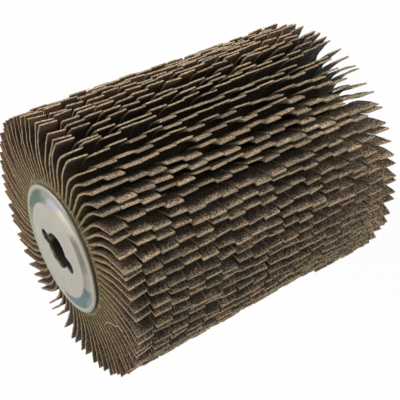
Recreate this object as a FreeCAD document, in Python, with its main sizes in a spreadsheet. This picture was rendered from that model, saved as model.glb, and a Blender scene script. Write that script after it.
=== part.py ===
import FreeCAD, Part
import math
import os
import random

import Sketcher
from FreeCAD import Placement, Rotation, Vector

# Flap wheel for a drum sander: a drum of slit abrasive cloth flaps between two pressed steel flanges.
# Millimetres. The wheel stands on its lower flange: the spindle axis is +Z and the lower flange's outer face
# lies at Z = 0. The drive notches of both flanges lie along X.

# Driving dimensions: name, value, and what it measures (angles in degrees)
DIMENSIONS = [
    ("bore_diameter", 13.0, "spindle bore in the hub sleeve"),
    ("slot_span", 23.0, "drive notches, from end to end across the bore"),
    ("slot_width", 5.2, "width of a drive notch"),
    ("slot_depth", 6.0, "depth of the cross slot in each end of the sleeve"),
    ("sleeve_wall", 2.5, "sleeve wall left beyond the ends of the cross slot"),
    ("resin_bed", 3.0, "resin between the sleeve and the inner edges of the flaps"),
    ("root_depth", 9.5, "length of each flap held in the resin"),
    ("root_stand", 1.5, "bare flap between the resin and the bottoms of the slits"),
    ("flap_count", 72, "flaps round the wheel, an even number"),
    ("flap_width", 115.6, "size of a flap along the axis"),
    ("flap_thickness", 1.0, "abrasive cloth with its grain"),
    ("tongue_length", 23.4, "flap from the bottoms of the slits to the tip"),
    ("strip_count", 17, "tongues that the slits make of one flap"),
    ("slit_width", 0.4, "opening of a slit"),
    ("sweep_mean", 19.0, "mean lean of the tongues, clockwise seen from above"),
    ("sweep_swing", 10.0, "how much more the tongues at -X lean than the mean, and those at +X less"),
    ("sway_share", 0.4, "part of the gap to the next flap that a tongue may sway either way"),
    ("tip_wear", 1.2, "most that a worn tip is short"),
    ("cap_diameter", 49.6, "flange, over its rim"),
    ("cap_sheet", 1.2, "steel sheet of the flange"),
    ("cap_dish", 1.0, "height of the flange's face above its rim"),
    ("cap_rim_width", 1.9, "flat rim that lies on the edges of the flaps"),
    ("cap_slope_width", 3.6, "sloped step between rim and face"),
    ("cap_hole_clearance", 0.2, "how much the flange's hole stands back from the bore all round"),
]

# Each flap's bend is two flats: the first turns by this share of the tongue's lean, the second by the other.
FIRST_FLAT_SHARE = 0.6
SECOND_FLAT_SHARE = 1.4

# Tongues that hang together at the same lean, in strips.
RUN_LENGTHS = (2, 3, 5, 6, 7)
FLAPS_PER_NODE = 2
SEED = 1993

doc = FreeCAD.newDocument("flap_wheel")
sheet = doc.addObject("Spreadsheet::Sheet", "sizes")
for row, (alias, value, meaning) in enumerate(DIMENSIONS, start=1):
    sheet.set(f"A{row}", alias)
    sheet.set(f"B{row}", str(value))
    sheet.setAlias(f"B{row}", alias)
    sheet.set(f"C{row}", meaning)
doc.recompute()


def size(alias):
    """The value of one driving dimension."""
    return float(sheet.get(alias))


# Expressions that several pieces share
SLEEVE_RADIUS = "(sizes.slot_span / 2 + sizes.sleeve_wall)"
ROOT_RADIUS = f"({SLEEVE_RADIUS} + sizes.resin_bed)"
CORE_RADIUS = f"({ROOT_RADIUS} + sizes.root_depth)"
SLEEVE_LENGTH = "(sizes.flap_width + 2 * sizes.cap_dish)"
RIM_FOOT_RADIUS = "(sizes.cap_diameter / 2 - sizes.cap_rim_width)"
FACE_RADIUS = f"({RIM_FOOT_RADIUS} - sizes.cap_slope_width)"

# The same lengths as numbers, for the pieces that functions shape
root_radius = size("slot_span") / 2 + size("sleeve_wall") + size("resin_bed")
slit_radius = root_radius + size("root_depth") + size("root_stand")
cap_height = size("cap_sheet") + size("cap_dish")
middle_height = cap_height + size("flap_width") / 2
flap_count = int(size("flap_count"))
strip_count = int(size("strip_count"))
flap_pitch = 360.0 / flap_count


def make_body(label):
    body = doc.addObject("PartDesign::Body", label)
    body.Label = label
    return body


def origin_feature(body, role):
    return next(item for item in body.Origin.OriginFeatures if item.Role == role)


def new_sketch(body, name, role):
    sketch = body.newObject("Sketcher::SketchObject", name)
    sketch.AttachmentSupport = [(origin_feature(body, role), "")]
    sketch.MapMode = "FlatFace"
    return sketch


def dimension(sketch, name, expression, *constraint):
    """Add a dimensional constraint that follows the sheet."""
    index = sketch.addConstraint(Sketcher.Constraint(*constraint))
    sketch.renameConstraint(index, name)
    sketch.setExpression(f"Constraints.{name}", expression)


def circle(sketch, name, radius, expression):
    """A circle round the axis whose radius follows the sheet."""
    index = sketch.addGeometry(Part.Circle(Vector(0, 0, 0), Vector(0, 0, 1), radius), False)
    sketch.addConstraint(Sketcher.Constraint("Coincident", index, 3, -1, 1))
    dimension(sketch, name, expression, "Radius", index, radius)


def closed_outline(sketch, corners):
    """A closed outline of straight lines; each corner is (name, x, y, x expression, y expression)."""
    count = len(corners)
    for here, there in zip(corners, corners[1:] + corners[:1]):
        start = Vector(here[1], here[2], 0)
        end = Vector(there[1], there[2], 0)
        sketch.addGeometry(Part.LineSegment(start, end), False)
    for index in range(count):
        sketch.addConstraint(Sketcher.Constraint("Coincident", index, 2, (index + 1) % count, 1))
    for index, (name, x, y, x_expression, y_expression) in enumerate(corners):
        dimension(sketch, name + "_x", x_expression, "DistanceX", -1, 1, index, 1, x)
        if y_expression is None:
            sketch.addConstraint(Sketcher.Constraint("PointOnObject", index, 1, -1))
        else:
            dimension(sketch, name + "_y", y_expression, "DistanceY", -1, 1, index, 1, y)


def notch_sketch(body, name):
    """The drive notches: one slot with round ends, across the axis along X."""
    sketch = new_sketch(body, name, "XY_Plane")
    radius = size("slot_width") / 2
    reach = size("slot_span") / 2 - radius
    quarter = math.pi / 2
    right = Part.Circle(Vector(reach, 0, 0), Vector(0, 0, 1), radius)
    left = Part.Circle(Vector(-reach, 0, 0), Vector(0, 0, 1), radius)
    sketch.addGeometry(Part.LineSegment(Vector(-reach, -radius, 0), Vector(reach, -radius, 0)), False)
    sketch.addGeometry(Part.ArcOfCircle(right, -quarter, quarter), False)
    sketch.addGeometry(Part.LineSegment(Vector(reach, radius, 0), Vector(-reach, radius, 0)), False)
    sketch.addGeometry(Part.ArcOfCircle(left, quarter, 3 * quarter), False)
    for index in range(4):
        sketch.addConstraint(Sketcher.Constraint("Tangent", index, 2, (index + 1) % 4, 1))
    sketch.addConstraint(Sketcher.Constraint("Equal", 1, 3))
    sketch.addConstraint(Sketcher.Constraint("PointOnObject", 1, 3, -1))
    sketch.addConstraint(Sketcher.Constraint("Symmetric", 1, 3, 3, 3, -1, 1))
    dimension(sketch, "end_radius", "sizes.slot_width / 2", "Radius", 1, radius)
    dimension(sketch, "reach", "(sizes.slot_span - sizes.slot_width) / 2", "DistanceX", -1, 1, 1, 3, reach)
    return sketch


def cap_profile(body):
    """Half section of the pressed flange: face, sloped step and rim, with the rim's underside at Z = 0."""
    sheet_mm = size("cap_sheet")
    dish = size("cap_dish")
    hole = size("bore_diameter") / 2 + size("cap_hole_clearance")
    rim = size("cap_diameter") / 2
    foot = rim - size("cap_rim_width")
    face = foot - size("cap_slope_width")
    slope = math.atan2(dish, size("cap_slope_width"))
    inset = sheet_mm * math.tan(slope / 2)
    hole_text = "sizes.bore_diameter / 2 + sizes.cap_hole_clearance"
    rim_text = "sizes.cap_diameter / 2"
    inset_text = "sizes.cap_sheet * tan(atan(sizes.cap_dish / sizes.cap_slope_width) / 2)"
    top_text = "sizes.cap_sheet + sizes.cap_dish"
    sketch = new_sketch(body, body.Name + "_section", "XZ_Plane")
    closed_outline(sketch, [
        ("hole_top", hole, sheet_mm + dish, hole_text, top_text),
        ("face_edge", face, sheet_mm + dish, FACE_RADIUS, top_text),
        ("slope_foot", foot, sheet_mm, RIM_FOOT_RADIUS, "sizes.cap_sheet"),
        ("rim_top", rim, sheet_mm, rim_text, "sizes.cap_sheet"),
        ("rim_seat", rim, 0, rim_text, None),
        ("inner_foot", foot - inset, 0, f"{RIM_FOOT_RADIUS} - {inset_text}", None),
        ("inner_face", face - inset, dish, f"{FACE_RADIUS} - {inset_text}", "sizes.cap_dish"),
        ("hole_seat", hole, dish, hole_text, "sizes.cap_dish"),
    ])
    return sketch


def make_cap(label):
    """Pressed steel flange: revolved section, with the drive notches cut through its face."""
    body = make_body(label)
    turn = body.newObject("PartDesign::Revolution", label + "_turn")
    section = cap_profile(body)
    turn.Profile = section
    turn.ReferenceAxis = (section, ["V_Axis"])
    turn.Angle = 360.0
    notches = body.newObject("PartDesign::Pocket", label + "_notches")
    notches.Profile = notch_sketch(body, label + "_notch_outline")
    notches.SideType = "Symmetric"
    notches.Type = "ThroughAll"
    return body


def make_sleeve(label):
    """Hub sleeve: tube over the spindle, with a cross slot for the drive pin in each end. Made round Z = 0."""
    body = make_body(label)
    tube = body.newObject("PartDesign::Pad", label + "_tube")
    section = new_sketch(body, label + "_section", "XY_Plane")
    circle(section, "outside", root_radius - size("resin_bed"), SLEEVE_RADIUS)
    circle(section, "bore", size("bore_diameter") / 2, "sizes.bore_diameter / 2")
    tube.Profile = section
    tube.SideType = "Symmetric"
    tube.setExpression("Length", SLEEVE_LENGTH)
    slot = body.newObject("PartDesign::Pocket", label + "_slot")
    outline = notch_sketch(body, label + "_slot_outline")
    outline.setExpression("AttachmentOffset.Base.z", f"{SLEEVE_LENGTH} / 2")
    slot.Profile = outline
    slot.Type = "Length"
    slot.setExpression("Length", "sizes.slot_depth")
    other_end = body.newObject("PartDesign::Mirrored", label + "_other_end")
    other_end.Originals = [slot]
    other_end.MirrorPlane = (origin_feature(body, "XY_Plane"), [""])
    body.Tip = other_end
    return body


def make_core(label):
    """Cast resin ring, flat between neighbouring flaps, with one slot for the root of each flap."""
    body = make_body(label)
    block = body.newObject("PartDesign::AdditivePrism", label + "_block")
    block.AttachmentSupport = [(origin_feature(body, "XY_Plane"), "")]
    block.MapMode = "FlatFace"
    block.setExpression("Polygon", "sizes.flap_count")
    block.setExpression("Circumradius", CORE_RADIUS)
    block.setExpression("Height", "sizes.flap_width")
    block.setExpression("AttachmentOffset.Base.z", "-sizes.flap_width / 2")
    hollow = body.newObject("PartDesign::Pocket", label + "_hollow")
    opening = new_sketch(body, label + "_hollow_outline", "XY_Plane")
    circle(opening, "inside", root_radius - size("resin_bed"), SLEEVE_RADIUS)
    hollow.Profile = opening
    hollow.SideType = "Symmetric"
    hollow.Type = "ThroughAll"
    slot = body.newObject("PartDesign::Pocket", label + "_slot")
    outline = new_sketch(body, label + "_slot_outline", "XY_Plane")
    half = size("flap_thickness") / 2
    half_text = "sizes.flap_thickness / 2"
    mouth_text = f"{CORE_RADIUS} + sizes.root_stand"
    closed_outline(outline, [
        ("floor_low", root_radius, -half, ROOT_RADIUS, f"-{half_text}"),
        ("mouth_low", slit_radius, -half, mouth_text, f"-{half_text}"),
        ("mouth_high", slit_radius, half, mouth_text, half_text),
        ("floor_high", root_radius, half, ROOT_RADIUS, half_text),
    ])
    slot.Profile = outline
    slot.SideType = "Symmetric"
    slot.Type = "ThroughAll"
    doc.recompute()
    slots = body.newObject("PartDesign::PolarPattern", label + "_slots")
    slots.Originals = [slot]
    slots.Axis = (origin_feature(body, "Z_Axis"), [""])
    slots.Angle = 360.0
    slots.setExpression("Occurrences", "sizes.flap_count")
    body.Tip = slots
    return body


def polar(distance, degrees):
    angle = math.radians(degrees)
    return Vector(distance * math.cos(angle), distance * math.sin(angle), 0)


def tongue_face(length, lean):
    """Section of a tongue of a flap that lies along X: two flats of equal length that lean clockwise."""
    half = size("flap_thickness") / 2
    first = -FIRST_FLAT_SHARE * lean
    second = -SECOND_FLAT_SHARE * lean
    bend = (second - first) / 2
    knee = Vector(slit_radius, 0, 0) + polar(length / 2, first)
    tip = knee + polar(length / 2, second)
    knee_side = polar(half / math.cos(math.radians(bend)), first + bend + 90)
    tip_side = polar(half, second + 90)
    foot_side = Vector(0, half, 0)
    foot = Vector(slit_radius, 0, 0)
    corners = [
        foot - foot_side,
        knee - knee_side,
        tip - tip_side,
        tip + tip_side,
        knee + knee_side,
        foot + foot_side,
    ]
    return Part.Face(Part.makePolygon(corners + corners[:1]))


def strip_runs(chance):
    """Split the strips of one flap into runs that lean together; each run is (first strip, strip after it)."""
    runs = []
    start = 0
    while start < strip_count:
        end = min(start + chance.choice(RUN_LENGTHS), strip_count)
        runs.append((start, end))
        start = end
    return runs


def sway_limit():
    """Degrees that a tongue may sway either way and still clear a neighbour that sways towards it."""
    tip_radius = slit_radius + size("tongue_length")
    spacing = 2 * math.pi * tip_radius / flap_count * math.cos(math.radians(size("sweep_mean")))
    gap = max(spacing - size("flap_thickness"), 0.0)
    return math.degrees(math.asin(min(size("sway_share") * gap / size("tongue_length"), 1.0)))


def make_flap(heading, chance):
    """One flap along X, made round Z = 0: the root sheet, and its tongues run by run."""
    width = size("flap_width")
    pitch = width / strip_count
    half_slit = size("slit_width") / 2
    thickness = size("flap_thickness")
    sweep = size("sweep_mean") - size("sweep_swing") * math.cos(math.radians(heading))
    root_corner = Vector(root_radius, -thickness / 2, -width / 2)
    root = Part.makeBox(slit_radius - root_radius, thickness, width, root_corner)
    tongues = []
    for start, end in strip_runs(chance):
        lean = sweep + sway_limit() * chance.uniform(-1, 1)
        length = size("tongue_length") - size("tip_wear") * chance.random()
        low = start * pitch + (half_slit if start > 0 else 0)
        high = end * pitch - (half_slit if end < strip_count else 0)
        face = tongue_face(length, lean)
        face.translate(Vector(0, 0, low - width / 2))
        tongues.append(face.extrude(Vector(0, 0, high - low)))
    return root.fuse(tongues).removeSplitter().Solids[0]


def make_flaps():
    """All flaps, a few neighbours to a node, each turned to its slot in the resin."""
    chance = random.Random(SEED)
    nodes = []
    for first in range(0, flap_count, FLAPS_PER_NODE):
        solids = []
        for step in range(min(FLAPS_PER_NODE, flap_count - first)):
            flap = make_flap((first + step) * flap_pitch, chance)
            flap.rotate(Vector(0, 0, 0), Vector(0, 0, 1), step * flap_pitch)
            solids.append(flap)
        node = doc.addObject("Part::Feature", f"flaps_{first // FLAPS_PER_NODE + 1:02d}")
        node.Label = node.Name
        node.Shape = Part.makeCompound(solids)
        turn = Rotation(Vector(0, 0, 1), first * flap_pitch)
        node.Placement = Placement(Vector(0, 0, middle_height), turn)
        nodes.append(node)
    return nodes


upper_cap = make_cap("upper_flange")
lower_cap = make_cap("lower_flange")
sleeve = make_sleeve("hub_sleeve")
core = make_core("resin_core")
upside_down = Rotation(Vector(1, 0, 0), 180)
upper_cap.setExpression("Placement.Base.z", "sizes.flap_width + sizes.cap_sheet + sizes.cap_dish")
lower_cap.Placement = Placement(Vector(0, 0, 0), upside_down)
lower_cap.setExpression("Placement.Base.z", "sizes.cap_sheet + sizes.cap_dish")
for piece in (sleeve, core):
    piece.setExpression("Placement.Base.z", "sizes.flap_width / 2 + sizes.cap_sheet + sizes.cap_dish")
subparts = [upper_cap, lower_cap, sleeve, core] + make_flaps()
doc.recompute()

for item in doc.Objects:
    if {"Invalid", "Error"} & set(item.State):
        raise RuntimeError(f"{item.Label} did not compute: {item.State}")
for item in subparts:
    if item.Shape.isNull() or not item.Shape.isValid():
        raise RuntimeError(f"{item.Label} has no valid shape")

os.makedirs("parts", exist_ok=True)
for item in subparts:
    item.Shape.exportStep(f"parts/{item.Label}.step")
    print(item.Label, len(item.Shape.Solids), round(item.Shape.Volume, 1))
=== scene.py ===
import bmesh
import bpy
import math
import random
from mathutils import Matrix, Vector


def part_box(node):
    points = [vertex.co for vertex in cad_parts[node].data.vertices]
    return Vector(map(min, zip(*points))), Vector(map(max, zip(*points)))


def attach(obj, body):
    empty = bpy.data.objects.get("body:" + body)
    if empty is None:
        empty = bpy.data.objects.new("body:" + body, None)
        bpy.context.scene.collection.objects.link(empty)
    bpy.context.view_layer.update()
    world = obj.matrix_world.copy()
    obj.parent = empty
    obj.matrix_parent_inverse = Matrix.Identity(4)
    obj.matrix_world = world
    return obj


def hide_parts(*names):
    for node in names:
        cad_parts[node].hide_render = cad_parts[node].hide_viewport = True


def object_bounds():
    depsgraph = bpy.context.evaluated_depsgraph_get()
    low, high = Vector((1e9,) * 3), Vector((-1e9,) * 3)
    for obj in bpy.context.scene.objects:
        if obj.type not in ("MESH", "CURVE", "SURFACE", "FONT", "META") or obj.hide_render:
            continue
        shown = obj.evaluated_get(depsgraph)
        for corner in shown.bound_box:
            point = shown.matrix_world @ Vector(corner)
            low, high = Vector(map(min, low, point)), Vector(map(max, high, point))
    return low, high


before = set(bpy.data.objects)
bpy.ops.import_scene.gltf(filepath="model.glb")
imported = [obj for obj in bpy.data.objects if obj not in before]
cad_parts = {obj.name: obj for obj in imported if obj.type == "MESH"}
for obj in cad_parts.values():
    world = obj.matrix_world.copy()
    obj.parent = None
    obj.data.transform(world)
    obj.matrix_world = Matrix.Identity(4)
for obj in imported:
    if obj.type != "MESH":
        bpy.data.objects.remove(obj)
cad_low, cad_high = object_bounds()

MM = 0.001
BODY = "root"
MIDDLE = (cad_low[2] + cad_high[2]) / 2
FULL_TURN = 2 * math.pi
UP = Vector((0, 0, 1))

# Camera: the wheel stands on its lower flange, and the photograph shows its upper end
PHOTO_SIDE = 400
FOCAL_PIXELS = 756.8
SENSOR_MM = 36.0
CAMERA_PLACE = Vector((168.3, 203.2, 198.7)) * MM
CAMERA_RIGHT = Vector((0.5881, 0.0756, -0.8053))
CAMERA_UP = Vector((-0.5911, 0.7198, -0.3641))

# Light from all round, and lamps: their direction, distance and side in metres, and watts
WORLD_LIGHT = 0.39
LAMPS = {
    "key": ((-0.48, 0.84, 0.27), 1.5, 0.90, 24.5),
    "side": ((-0.50, -0.18, 0.84), 1.5, 1.20, 7.0),
    "fill": ((0.66, 0.70, 0.25), 1.3, 0.45, 5.5),
}

# Sides of the wheel that differ in the photograph, as directions round the axis
WORN_AND_SHADED_SIDE = math.radians(330)
FRESH_SIDE = math.radians(118)
BACKING_LIT_SIDE = math.radians(212)
FAR_LIGHT_SIDE = math.radians(40)
DULL_SIDE = math.radians(305)
RIM_SHADE_SIDE = math.radians(35)
CURLED_SIDE = math.radians(150)
STRAIGHT_SIDE = math.radians(272)
EVEN_SIDE = math.radians(295)

# Limits for reading a flap's solid: reach of the root's corners, least step from there to the
# slits and to the tips, and spread of corners at one height
ROOT_REACH = 0.5 * MM
CLEAR_STEP = 1.0 * MM
SAME_HEIGHT = 0.05 * MM

# Flaps: cloth as thick as its solid that thins towards the worn tip, cut into tongues
CLOTH_THICKNESS = 1.0 * MM
TIP_THINNING = 0.45
STRIPS = 17
SLIT_WIDTH = 0.32 * MM
SLIT_POINT = 0.6 * MM
TONGUE_ROWS = 12
ACROSS = (0.0, 0.09, 0.32, 0.55, 0.78, 0.92, 1.0)
TONGUE_COLUMNS = len(ACROSS) - 1
BORDER = {0: 1.0, TONGUE_COLUMNS: 0.84}

# Bend of the tongues: how far the tip turns from the foot, and where along it the bend lies
TIP_TURN = (math.radians(42), math.radians(56))
END_TURN = math.radians(20)
CURLED_MORE = math.radians(8)
STRAIGHT_TURN = 1.2
LEAST_TURN = 0.01
BEND_PLACES = (0.30, 0.60)
BEND_SPAN = 0.72
TIP_DIRECTION = 1.6

# Sway: the share of the free room that a tongue takes, and how neighbours keep together
SWAY_MOST = 1.15 * MM
SWAY_SHARE = 0.42
SWAY_POWER = 0.8
LEAST_CHANGE = 0.4
OUTER_DRAW = (0.5, 1.0)
CLINGING = 4
CLINGING_FROM = 0.55
CLUSTER_SIZES = (2, 3, 3, 4)
CLUSTER_SPREAD = 0.2
EVENNESS = 0.9
TWIST = 0.15

# Wear: length, chipped and slanted tips, worn corners, and ragged cloth at both ends
WORN_LENGTH = 0.40 * MM
FRESH_LENGTH = 1.45 * MM
FAR_LENGTH = 0.75 * MM
TIP_CHIP = 0.14 * MM
TIP_SLANT = 0.7 * MM
END_SLANT = 1.2 * MM
CORNER_WEAR = 0.07 * MM
CORNER_SPREAD = (0.2, 1.8)
RAGGED = (-0.16 * MM, 0.08 * MM)
WAVY = 0.13 * MM
NEAR_FLARE = 0.7 * MM
FAR_FLARE = 1.9 * MM

# Looks of the cloth: patches and grains per metre, and where dust, painted light and glue begin
# and end. The end sizes are measured from the wheel's middle, the far painted light from the
# floor, glue from the axis.
PATCHES = 160
GRAINS = 2750
THREADS = 1500
FUZZ = 2000
DYES = 420
WORN_AND_SHADED_REACH = 0.115
END_DUST = (54.5 * MM, 57.6 * MM)
END_BROWN = (52.5 * MM, 57.0 * MM)
END_EDGE = (56.4 * MM, 57.4 * MM)
FAR_PAINTED_LIGHT = (44 * MM, 6 * MM)
GLUE_SOAKED = (26.0 * MM, 41.0 * MM)
GLUE_DRIFT = 2.2 * MM

# Flanges, in millimetres: sheet, raised face, hole with two notches, and rolled rim
SHEET = 1.2
FACE_HEIGHT = 2.2
FACE_RADIUS = 18.0
BROKEN_EDGE = 0.18
HOLE_RADIUS = 6.7
HOLE_MARGIN = 0.9
NOTCH_REACH = 11.5
NOTCH_HALF = 2.6
RIM_START = 22.7
RIM_RADIUS = 23.95
RIM_HALF = 0.85
RIM_HEIGHT = 0.22
RIM_STEPS = 12
RIM_EDGE = (24.8, 0.7)
RING_STEPS = 240

# The sloped step between face and rim: width in millimetres, and the slopes that share it
STEP = (
    (1.2, (0, 3, 6, 10, 14, 18)),
    (1.4, (21, 25, 29, 32, 35)),
    (1.1, (31, 25, 18, 11, 5, 1)),
)

# The rim's outer edge and the underside of the step: (radius, height) in millimetres
UNDERSIDE = ((24.7, 0.12), (24.55, 0.0), (22.9, 0.0), (21.4, 0.1), (20.4, 0.45), (19.4, 0.9))

# Coloured bloom and painted reflections in the groove of the flange: heading, reach to either
# side, outer radius, two colours. The brown lobe at 38 degrees is a painted dark reflection.
BLOOM_AND_REFLECTIONS = (
    (152, 31, 26.0, (0.010, 0.048, 0.028), (0.026, 0.088, 0.054)),
    (102, 12, 26.0, (0.200, 0.195, 0.215), (0.290, 0.280, 0.290)),
    (338, 9, 26.0, (0.090, 0.130, 0.170), (0.160, 0.200, 0.240)),
    (291, 17, 26.0, (0.040, 0.062, 0.150), (0.085, 0.115, 0.215)),
    (318, 16, 26.0, (0.026, 0.105, 0.088), (0.070, 0.190, 0.160)),
    (38, 15, 21.6, (0.120, 0.102, 0.082), (0.210, 0.185, 0.150)),
)
BLOOM_AND_REFLECTIONS_FADE = 1.4
BLOOM_AND_REFLECTIONS_STRENGTH = 0.95

# Beads of glue between the flap roots: degrees past the flap, and millimetres
GLUE_MISSING = 0.25
GLUE_HEADING = 2.5
GLUE_WANDER = 0.6
GLUE_RADIUS = (25.9, 26.9)
GLUE_DEPTH = (0.3, 0.9)
GLUE_SIZE = ((0.5, 1.6), (0.5, 0.95), (0.35, 0.8))
GLUE_SWELL = 0.18
GLUE_ROWS = 6
GLUE_COLUMNS = 8

# Loose threads at the tongues' corners
LOOSE_SHARE = 0.14
LOOSE_INSET = 0.3 * MM
LOOSE_RISE = 1.2
LOOSE_RADIUS = (0.05 * MM, 0.10 * MM)
LOOSE_LENGTH = (0.5 * MM, 1.9 * MM)
LOOSE_STEPS = 6
LOOSE_SIDES = 3

# The long loose thread on the near end, in millimetres: knots, radius and thinning
LONG_THREAD = (
    (28.7, -12.4, 117.95), (31.8, -7.7, 118.5), (33.8, -5.7, 118.45), (35.2, -5.1, 118.3),
    (37.3, -3.5, 118.5), (39.0, -1.8, 118.45), (39.6, -2.2, 118.3), (41.1, -2.7, 118.1),
)
LONG_RADIUS = 0.17
LONG_THINNING = 0.06
LONG_PARTS = 5
LONG_SIDES = 5

# Noise lies mostly between these two values
NOISE = (0.3, 0.7)
WHITE = (1.0, 1.0, 1.0)

chance = random.Random(72)


def new_material(name):
    """A material with its node tree and its Principled shader to build on."""
    material = bpy.data.materials.new(name)
    material.use_nodes = True
    tree = material.node_tree
    return material, tree, tree.nodes["Principled BSDF"]


def add_node(tree, kind, **settings):
    """A new node of a kind, with its settings."""
    node = tree.nodes.new(kind)
    for name, value in settings.items():
        setattr(node, name, value)
    return node


def feed(tree, socket, value):
    """Give an input what it takes: another node's output, a plain colour or a number."""
    if isinstance(value, bpy.types.NodeSocket):
        tree.links.new(value, socket)
    elif isinstance(value, tuple):
        socket.default_value = (*value, 1.0)
    else:
        socket.default_value = value


def object_point(tree):
    """The place of a point in the wheel's own axes."""
    return add_node(tree, "ShaderNodeTexCoord").outputs["Object"]


def attribute_node(tree, name):
    """A value that the mesh carries for its material."""
    return add_node(tree, "ShaderNodeAttribute", attribute_name=name).outputs["Fac"]


def noise_node(tree, where, scale, detail, roughness=0.55):
    """Soft noise with about as many patches in a metre as the scale says."""
    node = add_node(tree, "ShaderNodeTexNoise")
    for name, value in zip(("Scale", "Detail", "Roughness"), (scale, detail, roughness)):
        node.inputs[name].default_value = value
    tree.links.new(where, node.inputs["Vector"])
    return node.outputs["Fac"]


def ramp_node(tree, source, stops):
    """A colour ramp; each stop is (position, (red, green, blue))."""
    node = add_node(tree, "ShaderNodeValToRGB")
    elements = node.color_ramp.elements
    while len(elements) < len(stops):
        elements.new(0.5)
    for element, (position, colour) in zip(elements, stops):
        element.position = position
        element.color = (*colour, 1.0)
    tree.links.new(source, node.inputs["Fac"])
    return node.outputs["Color"]


def two_tone(tree, noise, first, second):
    """Two colours that noise blends."""
    return ramp_node(tree, noise, list(zip(NOISE, (first, second))))


def mix_node(tree, factor, first, second, blend="MIX"):
    """Mix two colours by a factor."""
    node = add_node(tree, "ShaderNodeMix", data_type="RGBA", blend_type=blend)
    for index, value in ((0, factor), (6, first), (7, second)):
        feed(tree, node.inputs[index], value)
    return node.outputs[2]


def tinted(tree, colour, tint):
    """A colour multiplied by a tint."""
    return mix_node(tree, 1.0, colour, tint, "MULTIPLY")


def math_node(tree, operation, first, *others, clamp=False):
    """Calculate with one value or two; with more, the result is taken on to the next."""
    for other in others or (0.0,):
        node = add_node(tree, "ShaderNodeMath", operation=operation, use_clamp=clamp)
        feed(tree, node.inputs[0], first)
        feed(tree, node.inputs[1], other)
        first = node.outputs[0]
    return first


def range_node(tree, source, low, high, to_low=0.0, to_high=1.0):
    """Map one range of values to another, and hold the ends."""
    node = add_node(tree, "ShaderNodeMapRange")
    tree.links.new(source, node.inputs["Value"])
    names = ("From Min", "From Max", "To Min", "To Max")
    for name, value in zip(names, (low, high, to_low, to_high)):
        node.inputs[name].default_value = value
    return node.outputs["Result"]


def jittered(tree, value, noise, reach):
    """A value that noise moves up or down by the reach."""
    return math_node(tree, "ADD", value, range_node(tree, noise, *NOISE, -reach, reach))


def bump_node(tree, shader, height, distance, strength=1.0):
    """Fine relief in the look of a surface."""
    node = add_node(tree, "ShaderNodeBump")
    node.inputs["Distance"].default_value = distance
    node.inputs["Strength"].default_value = strength
    tree.links.new(height, node.inputs["Height"])
    tree.links.new(node.outputs["Normal"], shader.inputs["Normal"])


def paint(tree, shader, colour, roughness, specular=0.5):
    """Give a surface its colour, its roughness and how strongly it mirrors."""
    feed(tree, shader.inputs["Base Color"], colour)
    feed(tree, shader.inputs["Roughness"], roughness)
    feed(tree, shader.inputs["Specular IOR Level"], specular)


def place_node(tree, where):
    """Radius from the wheel's axis, direction round it, and height of a point."""
    split = add_node(tree, "ShaderNodeSeparateXYZ")
    tree.links.new(where, split.inputs[0])
    x, y, height = split.outputs
    squares = [math_node(tree, "MULTIPLY", value, value) for value in (x, y)]
    radius = math_node(tree, "SQRT", math_node(tree, "ADD", *squares))
    return radius, math_node(tree, "ARCTAN2", y, x), height


def facing_node(tree, angle, side):
    """1 on a side of the wheel, 0 a quarter turn from it and -1 opposite."""
    return math_node(tree, "COSINE", math_node(tree, "SUBTRACT", angle, side))


def band_node(tree, radius, start, full, fading, stop):
    """1 in a band of radii, given in millimetres, and 0 outside it."""
    inner = range_node(tree, radius, start * MM, full * MM)
    outer = range_node(tree, radius, stop * MM, fading * MM)
    return math_node(tree, "MULTIPLY", inner, outer)


class ClothPoint:
    """What the looks of the cloth depend on at a point of a flap."""

    def __init__(self, tree):
        self.tree = tree
        self.where = object_point(tree)
        self.layer = attribute_node(tree, "layer")
        self.along = attribute_node(tree, "along")
        self.patches = noise_node(tree, self.where, PATCHES, detail=4.0)
        self.fuzz = noise_node(tree, self.where, FUZZ, detail=3.0)
        self.grains = add_node(tree, "ShaderNodeTexVoronoi")
        self.grains.inputs["Scale"].default_value = GRAINS
        tree.links.new(self.where, self.grains.inputs["Vector"])
        self.radius, self.angle, self.height = place_node(tree, self.where)
        above = math_node(tree, "SUBTRACT", self.height, MIDDLE)
        self.outward = math_node(tree, "ABSOLUTE", above)
        # On the worn and shaded side, more of each tongue is darkened: wear and painted shade
        self.worn_and_shaded_side = facing_node(tree, self.angle, WORN_AND_SHADED_SIDE)
        self.dull_side = facing_node(tree, self.angle, DULL_SIDE)
        further = math_node(tree, "MULTIPLY", self.worn_and_shaded_side, WORN_AND_SHADED_REACH)
        rubbed_and_shaded = jittered(tree, self.along, self.patches, 0.04)
        self.rubbed_and_shaded = math_node(tree, "SUBTRACT", rubbed_and_shaded, further)


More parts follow.
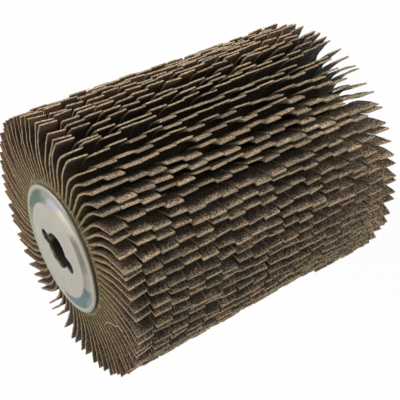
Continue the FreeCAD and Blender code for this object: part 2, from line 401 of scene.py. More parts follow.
def grain_colour(point):
    """The grain side: brown grains, painted shade dark towards the root, worn light near the tip,
    painted light at the far end, dusty at the ends.
    """
    tree = point.tree
    grains = point.grains.outputs["Color"]
    grit = ramp_node(tree, grains, [
        (0.20, (0.022, 0.013, 0.007)),
        (0.46, (0.092, 0.064, 0.045)),
        (0.64, (0.190, 0.146, 0.112)),
        (0.84, (0.350, 0.298, 0.252)),
    ])
    grit = mix_node(tree, 0.30, grit, grains, "MULTIPLY")
    patches = two_tone(tree, point.patches, (0.66, 0.64, 0.62), (1.22, 1.14, 1.04))
    grit = tinted(tree, grit, patches)

    # Painted light: the grain is lighter towards the far end, most on one side of the wheel
    far_light_side = facing_node(tree, point.angle, FAR_LIGHT_SIDE)
    far_light_side = range_node(tree, far_light_side, -0.5, 0.5, 0.3, 1.0)
    far_painted_light = range_node(tree, point.height, *FAR_PAINTED_LIGHT, 0.0, 0.95)
    far_painted_light = math_node(tree, "MULTIPLY", far_painted_light, far_light_side)
    # Wear and painted shade: dark towards the root, where the tongue above shades it, and light
    # at the worn tip; lifted away from the worn and shaded side, at the ends and at the far end
    wear_and_painted_shade = math_node(
        tree, "MAXIMUM",
        range_node(tree, point.rubbed_and_shaded, 0.79, 0.94),
        range_node(tree, point.worn_and_shaded_side, 1.0, -0.6, 0.0, 0.20),
        range_node(tree, point.outward, *END_DUST, 0.0, 0.30),
        far_painted_light,
    )
    grit = tinted(tree, grit, mix_node(tree, wear_and_painted_shade, (0.19, 0.145, 0.100), (1.76, 1.66, 1.58)))
    grit = tinted(tree, grit, mix_node(tree, far_painted_light, WHITE, (1.30, 1.32, 1.28)))

    browned = math_node(
        tree, "MULTIPLY",
        range_node(tree, point.outward, *END_BROWN, 0.0, 0.75),
        range_node(tree, point.dull_side, 0.3, 0.9, 0.45, 1.0),
        range_node(tree, point.along, 0.95, 0.65, 0.45, 1.0),
    )
    dust = two_tone(tree, point.patches, (0.060, 0.036, 0.018), (0.150, 0.096, 0.050))
    speckle = ramp_node(tree, grains, [(0.3, (0.5, 0.5, 0.5)), (0.8, (1.9, 1.9, 1.9))])
    return mix_node(tree, browned, grit, tinted(tree, dust, speckle))


def backing_colour(point):
    """The plain side: dark cloth with painted light and shade, lit brown on the lower left and
    dark elsewhere, lighter towards the tip by wear and painted shade.
    """
    tree = point.tree
    threads = noise_node(tree, point.where, THREADS, detail=2.0)
    backing = two_tone(tree, threads, (0.105, 0.068, 0.044), (0.270, 0.180, 0.115))
    # Painted light and shade: the backing is lit brown on one side of the wheel and kept dark on
    # the rest
    backing_lit_side = range_node(tree, facing_node(tree, point.angle, BACKING_LIT_SIDE), -0.1, 0.8)
    painted_light_and_shade = mix_node(tree, backing_lit_side, (0.12, 0.112, 0.084), (0.68, 0.54, 0.39))
    rubbed_and_shaded = range_node(tree, point.rubbed_and_shaded, 0.86, 1.0, 0.0, 0.5)
    return tinted(tree, backing, mix_node(tree, rubbed_and_shaded, painted_light_and_shade, (1.20, 1.12, 1.03)))


def cut_colour(point):
    """Cut threads: light, some reddish and some greenish."""
    tree = point.tree
    threads = ramp_node(tree, point.fuzz, [
        (0.3, (0.126, 0.090, 0.053)),
        (0.5, (0.322, 0.262, 0.184)),
        (0.7, (0.520, 0.458, 0.352)),
    ])
    dyes = noise_node(tree, point.where, DYES, detail=2.0)
    dyes = ramp_node(tree, dyes, [(0.35, (1.16, 0.93, 0.90)), (0.65, (0.88, 1.0, 0.86))])
    return tinted(tree, threads, dyes)


def edge_colour(point, cut, grit):
    """A cut edge: painted shade darkens it deep in the slits but not at tips and ends; grain
    along one side of it.
    """
    tree = point.tree
    at_end = range_node(tree, point.outward, *END_EDGE)
    # Painted shade: cut edges darken deep in the slits, away from the tips and the ends
    unshaded_edge = math_node(tree, "MAXIMUM", range_node(tree, point.along, 0.5, 0.92), at_end)
    cut = tinted(tree, cut, mix_node(tree, unshaded_edge, (0.22, 0.19, 0.15), WHITE))
    dull = range_node(tree, point.dull_side, 0.0, 0.8)
    end_tint = mix_node(tree, dull, (1.08, 0.95, 0.80), (0.86, 0.71, 0.56))
    cut = tinted(tree, cut, mix_node(tree, at_end, WHITE, end_tint))
    uneven = math_node(tree, "MULTIPLY", math_node(tree, "SUBTRACT", point.fuzz, 0.5), 0.6)
    through = math_node(tree, "ADD", point.layer, uneven)
    return mix_node(tree, range_node(tree, through, 0.70, 0.88), cut, grit)


def frayed_colour(point, cut, grit):
    """The grain side with light threads that fray out of the tip and the sides of a tongue."""
    tree = point.tree
    tip = jittered(tree, point.along, point.fuzz, 0.008)
    border = jittered(tree, attribute_node(tree, "border"), point.fuzz, 0.16)
    sides = math_node(
        tree, "MULTIPLY",
        range_node(tree, border, 0.64, 0.84, 0.0, 0.50),
        range_node(tree, point.along, 0.68, 0.90),
    )
    frayed = math_node(tree, "MAXIMUM", range_node(tree, tip, 0.978, 0.988, 0.0, 0.85), sides)
    worn = range_node(tree, point.worn_and_shaded_side, -0.2, 0.7)
    pale = mix_node(tree, worn, WHITE, (1.22, 1.22, 1.20))
    return mix_node(tree, frayed, grit, tinted(tree, cut, pale))


def cloth_material():
    """Coated cloth: grain on one side, plain backing on the other, light threads on its edges."""
    material, tree, shader = new_material("abrasive_cloth")
    point = ClothPoint(tree)
    grit = grain_colour(point)
    cut = cut_colour(point)
    sides = mix_node(tree, point.layer, backing_colour(point), frayed_colour(point, cut, grit))
    edges = edge_colour(point, cut, grit)
    colour = mix_node(tree, attribute_node(tree, "edge"), sides, edges)
    shade = attribute_node(tree, "shade")
    colour = tinted(tree, colour, mix_node(tree, shade, (0.74, 0.75, 0.76), (1.24, 1.20, 1.15)))
    soaked = jittered(tree, point.radius, point.patches, GLUE_DRIFT)
    soaked = range_node(tree, soaked, *GLUE_SOAKED, 0.78, 0.0)
    glue = two_tone(tree, point.fuzz, (0.050, 0.036, 0.014), (0.270, 0.215, 0.085))
    colour = mix_node(tree, soaked, colour, glue)
    rough = range_node(tree, point.grains.outputs["Color"], 0.6, 0.85, 0.85, 0.30)
    paint(tree, shader, colour, rough, specular=0.35)
    fibres = math_node(tree, "MULTIPLY", point.fuzz, 0.6)
    relief = math_node(tree, "ADD", point.grains.outputs["Distance"], fibres)
    bump_node(tree, shader, relief, 0.25 * MM)
    return material


def steel_material():
    """Zinc-plated steel: satin, clouded in faint tints, with coloured bloom and painted
    reflections in its groove, and painted shade on its inner slope, walls and one side of its
    rim.
    """
    material, tree, shader = new_material("zinc_plate")
    where = object_point(tree)
    clouds = noise_node(tree, where, 110, detail=4.0)
    colour = ramp_node(tree, clouds, [
        (0.30, (0.385, 0.335, 0.290)),
        (0.45, (0.365, 0.338, 0.270)),
        (0.57, (0.315, 0.318, 0.278)),
        (0.70, (0.380, 0.325, 0.285)),
    ])
    radius, angle, _ = place_node(tree, where)
    angle = jittered(tree, angle, clouds, 0.25)
    # Painted shade: the inner part of the sloped step is darkened
    slope = band_node(tree, radius, 18.2, 18.7, 19.6, 20.3)
    colour = mix_node(tree, slope, colour, tinted(tree, colour, (0.76, 0.76, 0.76)))
    groove = band_node(tree, radius, 18.1, 18.8, 22.8, 23.3)
    # Bloom and painted reflections: coloured lobes round the groove, plating tints together with
    # painted reflection; the lobe at 38 degrees is painted reflection only
    for heading, reach, outer, first, second in BLOOM_AND_REFLECTIONS:
        lobe = facing_node(tree, angle, math.radians(heading))
        ends = [math.cos(math.radians(reach * share)) for share in (1.5, 0.5)]
        bloom_and_reflection_mask = math_node(
            tree, "MULTIPLY", groove,
            range_node(tree, lobe, *ends),
            range_node(tree, radius, outer * MM, (outer - BLOOM_AND_REFLECTIONS_FADE) * MM),
            BLOOM_AND_REFLECTIONS_STRENGTH,
        )
        bloom_and_reflection = mix_node(tree, range_node(tree, clouds, 0.35, 0.65), first, second)
        colour = mix_node(tree, bloom_and_reflection_mask, colour, bloom_and_reflection)
    on_rim = range_node(tree, radius, 22.9 * MM, 23.3 * MM)
    rim = math_node(tree, "MULTIPLY", on_rim, 0.85)
    colour = mix_node(tree, rim, colour, (0.31, 0.295, 0.23))
    # Painted shade: the outer rim is darker on one side of the wheel
    rim_shade = math_node(
        tree, "MULTIPLY",
        range_node(tree, facing_node(tree, angle, RIM_SHADE_SIDE), 0.55, 0.95),
        range_node(tree, radius, 23.6 * MM, 24.7 * MM),
    )
    colour = mix_node(tree, rim_shade, colour, (0.115, 0.100, 0.066))
    # Painted shade: the hole wall and the rim's outer edge are dark brown
    colour = mix_node(tree, attribute_node(tree, "wall"), colour, (0.11, 0.092, 0.074))
    fine = noise_node(tree, where, 1400, detail=2.0)
    duller = math_node(tree, "MULTIPLY", on_rim, 0.15)
    rough = math_node(tree, "ADD", range_node(tree, fine, *NOISE, 0.36, 0.50), duller)
    paint(tree, shader, colour, rough)
    shader.inputs["Metallic"].default_value = 0.9
    bump_node(tree, shader, fine, 0.02 * MM, strength=0.4)
    return material


def resin_material():
    """Cast adhesive: yellow-olive, uneven, part glossy."""
    material, tree, shader = new_material("cast_resin")
    flow = noise_node(tree, object_point(tree), 520, detail=4.0)
    colour = ramp_node(tree, flow, [
        (0.30, (0.040, 0.029, 0.011)),
        (0.52, (0.120, 0.092, 0.032)),
        (0.76, (0.320, 0.260, 0.100)),
    ])
    paint(tree, shader, colour, range_node(tree, flow, *NOISE, 0.75, 0.45))
    bump_node(tree, shader, flow, 0.3 * MM, strength=0.8)
    return material


def sleeve_material():
    """Moulded sleeve: dark bore painted down to near black for its shade, with fine drag marks,
    dusty olive where the slots cut it.
    """
    material, tree, shader = new_material("dark_sleeve")
    where = object_point(tree)
    stretch = add_node(tree, "ShaderNodeMapping")
    stretch.inputs["Scale"].default_value = (1.0, 1.0, 0.12)
    tree.links.new(where, stretch.inputs["Vector"])
    drag = noise_node(tree, stretch.outputs["Vector"], 700, detail=3.0)
    # Painted shade: the bore's colour is near black
    painted_shade_black = two_tone(tree, drag, (0.004, 0.004, 0.004), (0.014, 0.012, 0.010))
    olive = two_tone(tree, drag, (0.110, 0.104, 0.064), (0.240, 0.228, 0.150))
    radius, _, _ = place_node(tree, where)
    colour = mix_node(tree, range_node(tree, radius, 7.8 * MM, 9.2 * MM), painted_shade_black, olive)
    paint(tree, shader, colour, range_node(tree, drag, *NOISE, 0.65, 0.5), specular=0.25)
    bump_node(tree, shader, drag, 0.05 * MM, strength=0.6)
    return material


def thread_material():
    """Loose cloth thread: pale tan, darker in places."""
    material, tree, shader = new_material("loose_thread")
    fibres = noise_node(tree, object_point(tree), 1800, detail=2.0)
    colour = two_tone(tree, fibres, (0.16, 0.12, 0.08), (0.50, 0.42, 0.31))
    paint(tree, shader, colour, 0.9)
    return material


def solid_corners(mesh):
    """The corners of each closed solid of a mesh, with those that its faces share merged."""
    work = bmesh.new()
    work.from_mesh(mesh)
    bmesh.ops.remove_doubles(work, verts=work.verts, dist=1e-6)
    work.verts.ensure_lookup_table()
    seen = set()
    solids = []
    for first in work.verts:
        if first.index in seen:
            continue
        seen.add(first.index)
        waiting = [first]
        corners = []
        while waiting:
            vertex = waiting.pop()
            corners.append(vertex.co.copy())
            for edge in vertex.link_edges:
                other = edge.other_vert(vertex)
                if other.index not in seen:
                    seen.add(other.index)
                    waiting.append(other)
        solids.append(corners)
    work.free()
    return solids


def read_flap(corners):
    """What the frame says of a flap: heading, root, foot of its slits, and runs of tongues."""
    inner = min(math.hypot(p.x, p.y) for p in corners)
    root_corners = [p for p in corners if math.hypot(p.x, p.y) < inner + ROOT_REACH]
    heading = math.atan2(sum(p.y for p in root_corners), sum(p.x for p in root_corners))
    turn = Matrix.Rotation(-heading, 3, "Z")
    flat = [turn @ p for p in corners]
    root = min(p.x for p in flat)
    foot = min(p.x for p in flat if p.x > root + CLEAR_STEP)
    levels = []
    for point in sorted((p for p in flat if p.x > foot + CLEAR_STEP), key=lambda p: p.z):
        if not levels or point.z > levels[-1][-1].z + SAME_HEIGHT:
            levels.append([])
        levels[-1].append(point)
    ends = []
    for level in levels:
        points = sorted(level, key=lambda p: p.x)
        ends.append((level[0].z, (points[-1] + points[-2]) / 2))
    runs = []
    for (low, tip), (high, _) in zip(ends[0::2], ends[1::2]):
        chord = Vector((tip.x - foot, tip.y, 0))
        lean = -math.atan2(chord.y, chord.x)
        runs.append({"low": low, "high": high, "lean": lean, "length": chord.length})
    return {"heading": heading, "root": root, "foot": foot, "runs": runs}


def bent(share, place):
    """How much of its bend a tongue has made at a share of its length, if it lies at a place."""
    step = min(max((share - place) / BEND_SPAN + 0.5, 0.0), 1.0)
    return step * step * (3 - 2 * step)


def tongue_path(foot, lean, length, place):
    """Middle of a tongue's section at each row: (x, y, direction), from the foot to the tip."""
    turn = -lean / (1 - place)
    x, y = foot, 0.0
    path = [(x, y, 0.0)]
    parts = 4
    for row in range(TONGUE_ROWS):
        for part in range(parts):
            direction = turn * bent((row + (part + 0.5) / parts) / TONGUE_ROWS, place)
            x += length / TONGUE_ROWS / parts * math.cos(direction)
            y += length / TONGUE_ROWS / parts * math.sin(direction)
        path.append((x, y, turn * bent((row + 1) / TONGUE_ROWS, place)))
    return path


def fit_bend(foot, chord_lean, chord_length, place):
    """The evenly bent path that leaves the foot straight out and spans the given chord."""
    lean = chord_lean
    length = chord_length
    rounds = 3
    for _ in range(rounds):
        x, y, _ = tongue_path(foot, lean, length, place)[-1]
        lean += chord_lean + math.atan2(y, x - foot)
        length *= chord_length / math.hypot(x - foot, y)
    return tongue_path(foot, lean, length, place)


def toward(heading, side):
    """1 on a side of the wheel, falling to 0 a quarter turn from it."""
    return max(math.cos(heading - side), 0.0)


def lay_out_tongues(flap, low, pitch):
    """The tongues of a flap, each with the lean and the length of its run in the solid."""
    tongues = []
    for strip in range(STRIPS):
        middle = low + (strip + 0.5) * pitch
        run = next(run for run in flap["runs"] if middle < run["high"] + SLIT_WIDTH)
        x = flap["foot"] + run["length"] * math.cos(run["lean"])
        y = -run["length"] * math.sin(run["lean"])
        tongues.append({
            "low": low + strip * pitch, "high": low + (strip + 1) * pitch,
            "lean": run["lean"], "length": run["length"],
            "tip_angle": flap["heading"] + math.atan2(y, x),
            "tip_radius": math.hypot(x, y),
            "tip_slant": TIP_DIRECTION * run["lean"],
        })
    return tongues


def room_beside(tongue, behind, ahead):
    """How far a tongue may sway towards the one behind it, and towards the one ahead."""
    room = []
    for other, sign in ((behind, -1), (ahead, 1)):
        apart = sign * (other["tip_angle"] - tongue["tip_angle"]) % FULL_TURN
        gap = apart * tongue["tip_radius"] * math.cos(tongue["tip_slant"]) - CLOTH_THICKNESS
        room.append(min(max(gap, 0.0) * SWAY_SHARE, SWAY_MOST))
    return room


def shape_tongue(flap, strip, room, sway, even):
    """Settle bend, length, twist, shade and worn tip of a tongue that sways by so much."""
    heading = flap["heading"]
    tongue = flap["tongues"][strip]
    place = (strip + 0.5) / STRIPS * 2 - 1
    lean = tongue["lean"] - sway / tongue["length"]
    straight = toward(heading, STRAIGHT_SIDE) ** 2
    curled = CURLED_MORE * toward(heading, CURLED_SIDE) - END_TURN * place ** 4
    turned = (chance.uniform(*TIP_TURN) + curled) * (1 - straight)
    turned += STRAIGHT_TURN * abs(lean) * straight + LEAST_TURN
    bend = min(max(1 - abs(lean) / turned, BEND_PLACES[0]), BEND_PLACES[1])
    length = tongue["length"] - WORN_LENGTH
    length += FRESH_LENGTH * toward(heading, FRESH_SIDE) ** 2
    length += FAR_LENGTH * max(-place, 0.0) ** 2
    tongue["path"] = fit_bend(flap["foot"], lean, length, bend)
    tongue["twist"] = chance.uniform(-TWIST, TWIST) * min(room)
    tongue["shade"] = chance.random()
    slant = chance.uniform(-1, 1) ** 3 * TIP_SLANT
    if strip in (0, STRIPS - 1):
        outwards = 1 if strip == 0 else -1
        slant = chance.uniform(0.2, 1.0) * END_SLANT * outwards * (1 - even)
    trim = [
        chance.random() * TIP_CHIP + abs(slant) / 2 + slant * (across - 0.5)
        for across in ACROSS
    ]
    for corner in (0, -1):
        trim[corner] += CORNER_WEAR * chance.uniform(*CORNER_SPREAD)
    tongue["trim"] = trim
    tongue["flare"] = (NEAR_FLARE if place > 0 else FAR_FLARE) * place * abs(place) ** 2


def plan_tongues(flaps):
    """Settle the sway of each tongue in the room that its neighbours leave, and its shape."""
    low = min(run["low"] for run in flaps[0]["runs"])
    high = max(run["high"] for run in flaps[0]["runs"])
    for flap in flaps:
        flap["tongues"] = lay_out_tongues(flap, low, (high - low) / STRIPS)
    cluster = []
    for index, flap in enumerate(flaps):
        if not cluster:
            size = chance.choice(CLUSTER_SIZES)
            cluster = [1 - 2 * part / (size - 1) for part in range(size)]
        shared = cluster.pop(0)
        behind = flaps[index - 1]["tongues"]
        ahead = flaps[(index + 1) % len(flaps)]["tongues"]
        draw = last_draw = chance.uniform(-1, 1)
        for strip, tongue in enumerate(flap["tongues"]):
            near_end = strip >= STRIPS - CLINGING
            while abs(draw - last_draw) < LEAST_CHANGE:
                draw = chance.uniform(-1, 1)
            if strip in (0, STRIPS - 1):
                draw = math.copysign(chance.uniform(*OUTER_DRAW), draw)
            if near_end and toward(flap["heading"], STRAIGHT_SIDE) ** 2 > CLINGING_FROM:
                draw = shared + chance.uniform(-CLUSTER_SPREAD, CLUSTER_SPREAD)
                draw = min(max(draw, -1.0), 1.0)
            last_draw = draw
            even = toward(flap["heading"], EVEN_SIDE) ** 16 if near_end else 0.0
            draw *= 1 - EVENNESS * even
            room = room_beside(tongue, behind[strip], ahead[strip])
            sway = abs(draw) ** SWAY_POWER * (room[1] if draw > 0 else -room[0])
            shape_tongue(flap, strip, room, sway, even)


class FlapMesh:
    """Collects points and faces of flaps, with what the material needs to know of them."""

    def __init__(self):
        self.points = []
        self.faces = []
        self.edge_faces = []
        self.values = {"layer": [], "along": [], "shade": [], "border": []}

    def pair(self, turn, x, y, z, direction, half, along, shade, border=0.0):
        """Two points, on the backing and on the grain side, half the cloth from its middle."""
        numbers = []
        for layer, out in enumerate((-half, half)):
            place = Vector((x - out * math.sin(direction), y + out * math.cos(direction), z))
            numbers.append(len(self.points))
            self.points.append(turn @ place)
            for values, value in zip(self.values.values(), (layer, along, shade, border)):
                values.append(value)
        return numbers

    def both(self, *pairs):
        """A face on the grain side, and its twin on the backing."""
        self.faces.append([grain for _, grain in reversed(pairs)])
        self.faces.append([backing for backing, _ in pairs])
        self.edge_faces += [False, False]

    def across(self, first, second):
        """An edge face from the grain side to the backing, along the line between two pairs."""
        self.faces.append((first[1], second[1], second[0], first[0]))
        self.edge_faces.append(True)

    def add_flap(self, flap):
        """One flap as one closed skin: root sheet, tongues, and the slits between them."""
        turn = Matrix.Rotation(flap["heading"], 3, "Z")
        tongues = flap["tongues"]
        shade = tongues[0]["shade"]
        bounds = [tongue["low"] for tongue in tongues] + [tongues[-1]["high"]]
        root, throat = [
            [self.pair(turn, x, 0.0, z, 0.0, CLOTH_THICKNESS / 2, 0.0, shade) for z in bounds]
            for x in (flap["root"], flap["foot"] - SLIT_POINT)
        ]
        grids = [self.add_tongue(turn, flap, strip) for strip in range(STRIPS)]
        for strip, grid in enumerate(grids):
            after = strip + 1
            self.both(root[strip], throat[strip], throat[after], root[after])
            self.both(throat[strip], *grid[0], throat[after])
            self.across(root[after], root[strip])
            for row, ahead in zip(grid, grid[1:]):
                for column in range(TONGUE_COLUMNS):
                    self.both(row[column], ahead[column], ahead[column + 1], row[column + 1])
                self.across(row[0], ahead[0])
                self.across(ahead[-1], row[-1])
            for first, second in zip(grid[-1], grid[-1][1:]):
                self.across(first, second)
            if strip > 0:
                before = grids[strip - 1][0][-1]
                self.both(throat[strip], before, grid[0][0])
                self.across(before, grid[0][0])
        self.across(root[0], throat[0])
        self.across(throat[0], grids[0][0][0])
        self.across(grids[-1][0][-1], throat[-1])
        self.across(throat[-1], root[-1])

    def add_tongue(self, turn, flap, strip):
        """Pairs of points of one tongue, in rows from its foot to its tip."""
        tongue = flap["tongues"][strip]
        low = tongue["low"] + (SLIT_WIDTH / 2 if strip > 0 else 0)
        high = tongue["high"] - (SLIT_WIDTH / 2 if strip < STRIPS - 1 else 0)
        outer_edges = {(0, 0): -1, (STRIPS - 1, TONGUE_COLUMNS): 1}
        grid = []
        for row, (x, y, direction) in enumerate(tongue["path"]):
            share = row / TONGUE_ROWS
            half = CLOTH_THICKNESS / 2 * (1 - TIP_THINNING * share ** 2)
            ragged = chance.uniform(*RAGGED) * min(4 * share, 1)
            wavy = chance.uniform(-WAVY, WAVY) * min(4 * share, 1)
            pairs = []
            for column, across in enumerate(ACROSS):
                sway = tongue["twist"] * (2 * across - 1) * share ** 2
                trim = tongue["trim"][column] if row == TONGUE_ROWS else 0.0
                z = low + (high - low) * across + tongue["flare"] * share ** 1.5
                if (strip, column) in outer_edges:
                    z += ragged * outer_edges[strip, column]
                    sway += wavy
                pairs.append(self.pair(
                    turn,
                    x - trim * math.cos(direction) - sway * math.sin(direction),
                    y - trim * math.sin(direction) + sway * math.cos(direction),
                    z, direction, half, share, tongue["shade"], BORDER.get(column, 0.0),
                ))
            grid.append(pairs)
        return grid

    def build(self, name, material):
        """The piece that stands for the flaps collected; its cut edges aren't smoothed."""
        smooth = [not edge for edge in self.edge_faces]
        piece = new_piece(name, self.points, self.faces, material, smooth)
        for key, values in self.values.items():
            set_values(piece.data, key, "POINT", values)
        set_values(piece.data, "edge", "FACE", [float(edge) for edge in self.edge_faces])
        mark_sharp(piece.data, 40)
        return piece


def new_piece(name, points, faces, material, smooth=None):
    """An object with a mesh of its own, smooth all over unless told which faces are."""
    mesh = bpy.data.meshes.new(name)
    mesh.from_pydata(points, [], faces)
    mesh.polygons.foreach_set("use_smooth", smooth or [True] * len(faces))
    mesh.materials.append(material)
    mesh.update()
    piece = bpy.data.objects.new(name, mesh)
    bpy.context.scene.collection.objects.link(piece)
    return piece


def set_values(mesh, name, domain, values):
    """Give a mesh a value for each of its points or faces."""
    mesh.attributes.new(name, "FLOAT", domain).data.foreach_set("value", values)


def mark_sharp(mesh, degrees):
    """Mark the edges that turn by more than an angle as sharp, and shade the rest smooth."""
    limit = math.radians(degrees)
    work = bmesh.new()
    work.from_mesh(mesh)
    for edge in work.edges:
        edge.smooth = len(edge.link_faces) == 2 and edge.calc_face_angle(0.0) < limit
    work.to_mesh(mesh)
    work.free()


def make_flaps(material):
    """Every flap of the frame again, cut into its tongues; one piece stands for each node."""
    nodes = sorted(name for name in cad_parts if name.startswith("flaps_"))
    flaps = []
    for name in nodes:
        for corners in solid_corners(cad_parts[name].data):
            flaps.append({"node": name, **read_flap(corners)})
    flaps.sort(key=lambda flap: flap["heading"] % FULL_TURN)
    plan_tongues(flaps)
    for name in nodes:
        mesh = FlapMesh()
        for flap in flaps:
            if flap["node"] == name:
                mesh.add_flap(flap)
        piece = mesh.build("slit_" + name, material)
        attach(piece, BODY)
        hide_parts(name)
    return flaps


def hole_outline(angle):
    """How far the hole of a flange reaches in a direction: the round hole, or a notch of it."""
    across = abs(math.sin(angle))
    along = abs(math.cos(angle))
    centre = NOTCH_REACH - NOTCH_HALF
    if across * centre <= NOTCH_HALF * along:
        notch = centre * along + math.sqrt(max(NOTCH_HALF ** 2 - (centre * across) ** 2, 0.0))
    else:
        notch = NOTCH_HALF / across
    return max(HOLE_RADIUS, notch)


def flange_angles():
    """Directions of the points in a ring: even steps, and the corners of both notches."""
    corner = math.asin(NOTCH_HALF / HOLE_RADIUS)
    tangent = math.atan2(NOTCH_HALF, NOTCH_REACH - NOTCH_HALF)
    angles = [FULL_TURN * step / RING_STEPS for step in range(RING_STEPS)]
    for offset in (corner, -corner, tangent, -tangent):
        angles += [offset % FULL_TURN, (math.pi + offset) % FULL_TURN]
    return sorted({round(angle, 6) for angle in angles})


def flange_rings():
    """Section of a flange as rings, in millimetres: (radius, offset, height, on a wall, which
    gets painted shade).

    It goes from the hole over the face to the rim, and back on the underside. A ring without a
    radius follows the outline of the hole at its offset.
    """
    underside = FACE_HEIGHT - SHEET
    broken = 0.3 * BROKEN_EDGE
    rings = [
        (None, 0.0, underside + BROKEN_EDGE, True),
        (None, 0.0, FACE_HEIGHT - BROKEN_EDGE, True),
        (None, broken, FACE_HEIGHT - broken, True),
        (None, BROKEN_EDGE, FACE_HEIGHT, False),
        (None, HOLE_MARGIN, FACE_HEIGHT, False),
        (14.0, 0.0, FACE_HEIGHT, False),
        (17.6, 0.0, FACE_HEIGHT, False),
    ]
    radius, height = FACE_RADIUS, FACE_HEIGHT
    for width, slopes in STEP:
        for slope in slopes:
            rings.append((radius, 0.0, height, False))
            radius += width / len(slopes)
            height -= width / len(slopes) * math.tan(math.radians(slope))
    rings.append((radius, 0.0, height, False))
    rings.append((RIM_START, 0.0, height, False))
    for step in range(RIM_STEPS + 1):
        angle = math.pi * (1 - step / RIM_STEPS)
        radius = RIM_RADIUS + RIM_HALF * math.cos(angle)
        rings.append((radius, 0.0, height + RIM_HEIGHT * math.sin(angle), False))
    rings.append((RIM_EDGE[0], 0.0, RIM_EDGE[1], True))
    for radius, height in UNDERSIDE:
        rings.append((radius, 0.0, height, radius > 24))
    return rings + [
        (18.2, 0.0, underside, False),
        (14.0, 0.0, underside, False),
        (None, HOLE_MARGIN, underside, False),
        (None, BROKEN_EDGE, underside, True),
    ]


def make_flange(node, material):
    """A flange, turned as one closed skin, with its drive notches and rounded edges."""
    low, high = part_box(node)
    upward = node.startswith("upper")
    seat = low.z if upward else high.z
    sign = 1 if upward else -1
    angles = flange_angles()
    rings = flange_rings()
    points = []
    for radius, offset, height, _ in rings:
        for angle in angles:
            reach = (hole_outline(angle) + offset if radius is None else radius) * MM
            x, y = reach * math.cos(angle), reach * math.sin(angle)
            points.append((x, y, seat + sign * height * MM))
    count = len(angles)
    faces = []
    wall = []
    for ring in range(len(rings)):
        here = ring * count
        after = (ring + 1) % len(rings) * count
        for step in range(count):
            ahead = (step + 1) % count
            quad = (here + step, here + ahead, after + ahead, after + step)
            faces.append(quad[::-1] if upward else quad)
            wall.append(float(rings[ring][3]))
    piece = new_piece(node + "_pressing", points, faces, material)
    set_values(piece.data, "wall", "FACE", wall)
    mark_sharp(piece.data, 35)
    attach(piece, BODY)
    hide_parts(node)


def dress(node, material):
    """Give a node of the frame, which keeps its shape, a better material."""
    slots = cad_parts[node].data.materials
    slots.clear()
    slots.append(material)


def add_trim(name, points, faces, material):
    """A piece that stands for no node of the frame."""
    piece = new_piece(name, points, faces, material)
    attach(piece, BODY)


def bead_points(centre, size, phase):
    """A lumpy ball of glue: one point on top, rings of points, and one below."""
    points = [centre + UP * size.z]
    for row in range(1, GLUE_ROWS):
        polar = math.pi * row / GLUE_ROWS
        for column in range(GLUE_COLUMNS):
            azimuth = FULL_TURN * column / GLUE_COLUMNS
            swell = 1 + GLUE_SWELL * math.sin(3 * azimuth + phase) * math.sin(polar)
            points.append(centre + swell * Vector((
                size.x * math.sin(polar) * math.cos(azimuth),
                size.y * math.sin(polar) * math.sin(azimuth),
                size.z * math.cos(polar),
            )))
    points.append(centre - UP * size.z)
    return points


def bead_faces(first):
    """Faces of a ball of glue whose points start at the first."""
    last = first + 1 + (GLUE_ROWS - 1) * GLUE_COLUMNS
    top, bottom = first + 1, last - GLUE_COLUMNS
    faces = []
    for column in range(GLUE_COLUMNS):
        ahead = (column + 1) % GLUE_COLUMNS
        faces.append((first, top + column, top + ahead))
        faces.append((last, bottom + ahead, bottom + column))
        for upper in range(top, bottom, GLUE_COLUMNS):
            lower = upper + GLUE_COLUMNS
            faces.append((upper + column, lower + column, lower + ahead, upper + ahead))
    return faces


def make_glue(flaps, material):
    """Beads of glue squeezed out between the roots of the flaps, at both ends."""
    points, faces = [], []
    low = flaps[0]["tongues"][0]["low"]
    high = flaps[0]["tongues"][-1]["high"]
    for end, outward in ((high, 1), (low, -1)):
        for flap in flaps:
            if chance.random() < GLUE_MISSING:
                continue
            degrees = GLUE_HEADING + chance.uniform(-GLUE_WANDER, GLUE_WANDER)
            heading = flap["heading"] + math.radians(degrees)
            radius = chance.uniform(*GLUE_RADIUS) * MM
            centre = Vector((radius, 0, end - outward * chance.uniform(*GLUE_DEPTH) * MM))
            size = Vector([chance.uniform(*bounds) for bounds in GLUE_SIZE]) * MM
            turn = Matrix.Rotation(heading, 3, "Z")
            faces += bead_faces(len(points))
            points += [turn @ point for point in bead_points(centre, size, heading * 17)]
    add_trim("glue_beads", points, faces, material)


def thread_ring(spot, heading, up, radius, sides):
    """Points round a thread at a spot."""
    across = heading.cross(up).normalized()
    other = heading.cross(across)
    ring = []
    for side in range(sides):
        angle = FULL_TURN * side / sides
        ring.append(spot + (across * math.cos(angle) + other * math.sin(angle)) * radius)
    return ring


def thread_faces(first, rings, sides):
    """Faces of a thread whose rings of points start at the first, closed at both ends."""
    last = first + (rings - 1) * sides
    faces = []
    for here in range(first, last, sides):
        for side in range(sides):
            ahead = (side + 1) % sides
            after = here + sides
            faces.append((here + side, here + ahead, after + ahead, after + side))
    faces.append(tuple(reversed(range(first, first + sides))))
    faces.append(tuple(range(last, last + sides)))
    return faces


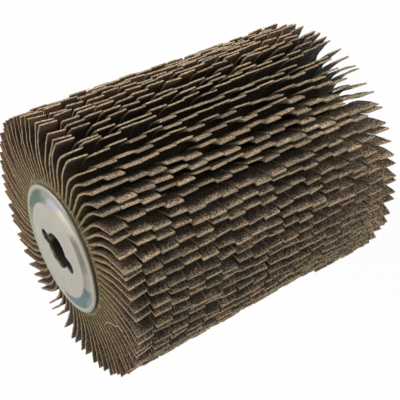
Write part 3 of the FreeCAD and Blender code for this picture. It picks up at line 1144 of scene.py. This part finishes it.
def make_threads(flaps, material):
    """Threads that have come loose at the corners of worn tongues."""
    points, faces = [], []
    for flap in flaps:
        turn = Matrix.Rotation(flap["heading"], 3, "Z")
        for tongue in flap["tongues"]:
            if chance.random() > LOOSE_SHARE:
                continue
            x, y, direction = tongue["path"][-1]
            ray = Vector((math.cos(direction), math.sin(direction), 0))
            low, high = tongue["low"], tongue["high"]
            anywhere = chance.uniform(low, high)
            spot = Vector((x, y, 0)) - ray * LOOSE_INSET
            spot.z = chance.choice((low + LOOSE_INSET, high - LOOSE_INSET, anywhere))
            heading = (ray + UP * chance.uniform(-LOOSE_RISE, LOOSE_RISE)).normalized()
            bend = Vector([chance.uniform(-1, 1) for _ in range(3)]) * 0.5
            radius = chance.uniform(*LOOSE_RADIUS)
            stride = chance.uniform(*LOOSE_LENGTH) / LOOSE_STEPS
            faces += thread_faces(len(points), LOOSE_STEPS + 1, LOOSE_SIDES)
            for step in range(LOOSE_STEPS + 1):
                slim = radius * (1 - 0.6 * step / LOOSE_STEPS)
                ring = thread_ring(spot, heading, UP + bend * 0.1, slim, LOOSE_SIDES)
                points += [turn @ point for point in ring]
                spot = spot + heading * stride
                heading = (heading + bend * 0.45).normalized()
    add_trim("loose_threads", points, faces, material)


def make_long_thread(material):
    """The one long thread that lies loose across the cut edges of the near end."""
    knots = [Vector(knot) * MM for knot in LONG_THREAD]
    path = []
    for index in range(len(knots) - 1):
        before = knots[max(index - 1, 0)]
        start, stop = knots[index], knots[index + 1]
        after = knots[min(index + 2, len(knots) - 1)]
        for part in range(LONG_PARTS + (index == len(knots) - 2)):
            share = part / LONG_PARTS
            path.append(0.5 * (
                2 * start + (stop - before) * share
                + (2 * before - 5 * start + 4 * stop - after) * share ** 2
                + (3 * start - before - 3 * stop + after) * share ** 3
            ))
    points = []
    for index, spot in enumerate(path):
        heading = path[min(index + 1, len(path) - 1)] - path[max(index - 1, 0)]
        radius = (LONG_RADIUS - LONG_THINNING * index / len(path)) * MM
        points += thread_ring(spot, heading.normalized(), UP, radius, LONG_SIDES)
    faces = thread_faces(0, len(path), LONG_SIDES)
    add_trim("long_thread", points, faces, material)


def seen_white(tree, kind, shader, output, camera_share=1.0):
    """Show camera, mirrored and transmitted rays plain white in place of a shader."""
    white = add_node(tree, kind)
    white.inputs["Color"].default_value = (*WHITE, 1)
    rays = add_node(tree, "ShaderNodeLightPath").outputs
    seen = math_node(tree, "MULTIPLY", rays["Is Camera Ray"], camera_share)
    for ray in ("Is Glossy Ray", "Is Transmission Ray"):
        seen = math_node(tree, "ADD", seen, rays[ray], clamp=True)
    blend = add_node(tree, "ShaderNodeMixShader")
    tree.links.new(seen, blend.inputs[0])
    tree.links.new(shader.outputs[0], blend.inputs[1])
    tree.links.new(white.outputs[0], blend.inputs[2])
    tree.links.new(blend.outputs[0], tree.nodes[output].inputs["Surface"])


def make_floor():
    """Pale floor that the camera sees almost white, with the wheel's soft shadow on it."""
    bpy.ops.mesh.primitive_plane_add(size=6, location=(0, 0, 0))
    floor = bpy.context.object
    floor.name = "floor"
    material, tree, shader = new_material("pale_floor")
    paint(tree, shader, (0.82, 0.82, 0.81), 0.9, specular=0.1)
    seen_white(tree, "ShaderNodeEmission", shader, "Material Output", camera_share=0.97)
    floor.data.materials.append(material)


def make_world():
    """Even pale light from all round; the camera sees it as white."""
    world = bpy.data.worlds.new("studio")
    bpy.context.scene.world = world
    world.use_nodes = True
    tree = world.node_tree
    light = tree.nodes["Background"]
    light.inputs["Color"].default_value = (*WHITE, 1)
    light.inputs["Strength"].default_value = WORLD_LIGHT
    seen_white(tree, "ShaderNodeBackground", light, "World Output")


def soft_light(name, direction, distance, side, power):
    """A square lamp that shines at the middle of the wheel."""
    lamp = bpy.data.lights.new(name, "AREA")
    lamp.shape = "SQUARE"
    lamp.size = side
    lamp.energy = power
    holder = bpy.data.objects.new(name, lamp)
    towards = Vector(direction).normalized()
    holder.location = Vector((0, 0, MIDDLE)) + towards * distance
    holder.rotation_euler = towards.to_track_quat("Z", "Y").to_euler()
    bpy.context.scene.collection.objects.link(holder)


def make_camera():
    """The photograph's view, from the place and the two directions of its camera."""
    right = CAMERA_RIGHT.normalized()
    back = right.cross(CAMERA_UP).normalized()
    camera = bpy.data.cameras.new("camera")
    camera.sensor_width = SENSOR_MM
    camera.lens = SENSOR_MM * FOCAL_PIXELS / PHOTO_SIDE
    camera.clip_start = 0.01
    place = Matrix((right, back.cross(right), back)).transposed().to_4x4()
    place.translation = CAMERA_PLACE
    holder = bpy.data.objects.new("camera", camera)
    holder.matrix_world = place
    bpy.context.scene.collection.objects.link(holder)
    bpy.context.scene.camera = holder


bpy.context.scene.view_settings.view_transform = "Standard"
make_floor()
make_world()
for name, settings in LAMPS.items():
    soft_light(name, *settings)
make_camera()

flaps = make_flaps(cloth_material())
loose = thread_material()
make_threads(flaps, loose)
make_long_thread(loose)
steel = steel_material()
make_flange("upper_flange", steel)
make_flange("lower_flange", steel)
dress("hub_sleeve", sleeve_material())
resin = resin_material()
dress("resin_core", resin)
make_glue(flaps, resin)
